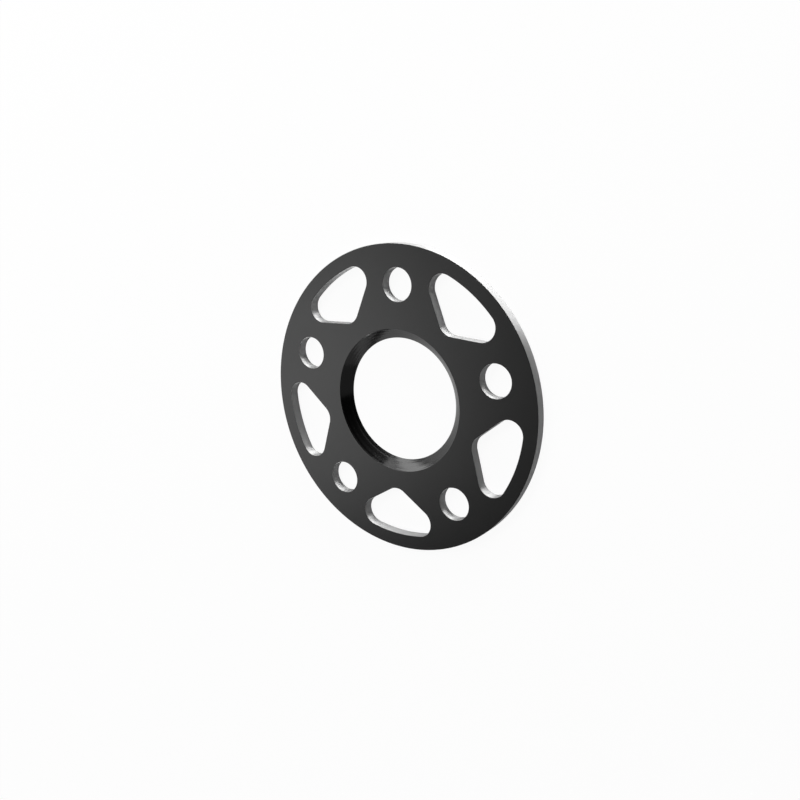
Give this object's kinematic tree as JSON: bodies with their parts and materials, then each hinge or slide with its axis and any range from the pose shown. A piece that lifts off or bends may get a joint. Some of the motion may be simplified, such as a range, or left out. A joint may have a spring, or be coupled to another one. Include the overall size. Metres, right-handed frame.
{
  "type": "wheel spacer",
  "caption": "Thin round wheel spacer plate with a tapered hub bore, stud holes on one circle and rounded triangular windows between them.",
  "frame": {"origin": "centre of the underside, which is the face with the narrow end of the bore", "axes": "+Z along the plate's axis, towards the face with the wide end of the taper; +Y through one stud hole"},
  "size_m": [0.15, 0.15, 0.005],
  "materials": {
    "anodised_aluminium": "black anodised, satin"
  },
  "bodies": {
    "root": {"wheel_spacer": "anodised_aluminium"}
  },
  "joints": []
}
